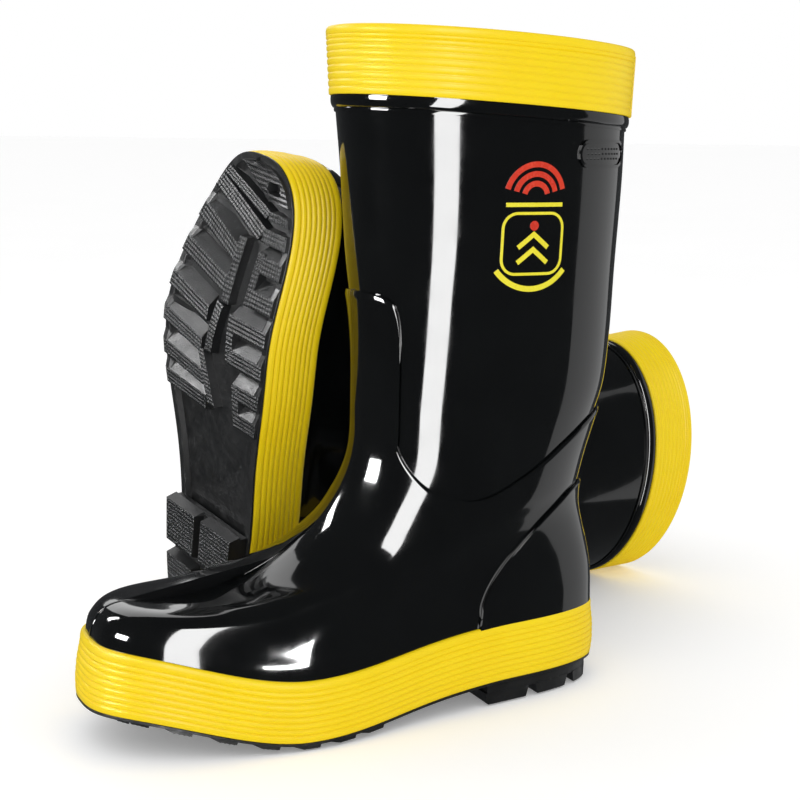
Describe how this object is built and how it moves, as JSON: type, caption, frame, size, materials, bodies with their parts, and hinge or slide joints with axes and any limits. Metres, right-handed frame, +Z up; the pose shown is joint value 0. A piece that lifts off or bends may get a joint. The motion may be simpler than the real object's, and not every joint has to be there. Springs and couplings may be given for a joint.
{
  "type": "fire boots",
  "caption": "Pair of tall glossy black rubber fire boots with yellow ribbed collar and foxing bands, lugged outsoles, steel toe caps and midsoles; one stands, one lies on its back.",
  "frame": {"origin": "on the floor under the middle of the pair's bounding box", "axes": "+Z up; the standing left boot's toe points to -Y and its outer side to +X; the right boot lies on its back on the -X side with its leg along +Y"},
  "size_m": [0.3064, 0.4724, 0.3732],
  "materials": {
    "glossy_black_rubber": "high gloss",
    "yellow_rubber": "satin gloss with fine moulded ribs",
    "tread_rubber": "matt, knurled",
    "filler_rubber": "matt",
    "knitted_lining": "fine knit",
    "printed_transfer": "printed film",
    "steel": "brushed",
    "insole_board": "pressed fibre board",
    "insole_felt": "felt"
  },
  "bodies": {
    "left_boot": {"left_leg": "glossy_black_rubber", "left_lining": "knitted_lining", "left_galosh": "glossy_black_rubber", "left_heel_counter": "glossy_black_rubber", "left_foxing_band": "yellow_rubber", "left_outsole": "tread_rubber", "left_heel_block": "tread_rubber", "left_collar_band": "yellow_rubber", "left_collar_tab": "yellow_rubber", "left_collar_bead": "glossy_black_rubber", "left_emblem": "printed_transfer", "left_size_badge": "glossy_black_rubber", "left_midsole_filler": "filler_rubber", "left_puncture_plate": "steel", "left_insole_board": "insole_board", "left_steel_toe_cap": "steel"},
    "left_insole": {"left_insole": "insole_felt"},
    "right_boot": {"right_leg": "glossy_black_rubber", "right_lining": "knitted_lining", "right_galosh": "glossy_black_rubber", "right_heel_counter": "glossy_black_rubber", "right_foxing_band": "yellow_rubber", "right_outsole": "tread_rubber", "right_heel_block": "tread_rubber", "right_collar_band": "yellow_rubber", "right_collar_tab": "yellow_rubber", "right_collar_bead": "glossy_black_rubber", "right_emblem": "printed_transfer", "right_size_badge": "glossy_black_rubber", "right_midsole_filler": "filler_rubber", "right_puncture_plate": "steel", "right_insole_board": "insole_board", "right_steel_toe_cap": "steel"},
    "right_insole": {"right_insole": "insole_felt"}
  },
  "joints": [
    {"name": "right_boot_lift", "type": "slide", "parent": "left_boot", "child": "right_boot", "axis": [-0.2873, 0, 0.9578], "range_m": [0, 0.3]},
    {"name": "left_insole_lift", "type": "hinge", "parent": "left_boot", "child": "left_insole", "pos_m": [0.08429, -0.22274, 0.03804], "axis": [1, 0, 0], "range_deg": [0, 5]},
    {"name": "right_insole_lift", "type": "hinge", "parent": "right_boot", "child": "right_insole", "pos_m": [0.02136, -0.09717, 0.29228], "axis": [0.9621, 0.2031, -0.1819], "range_deg": [0, 5]}
  ]
}
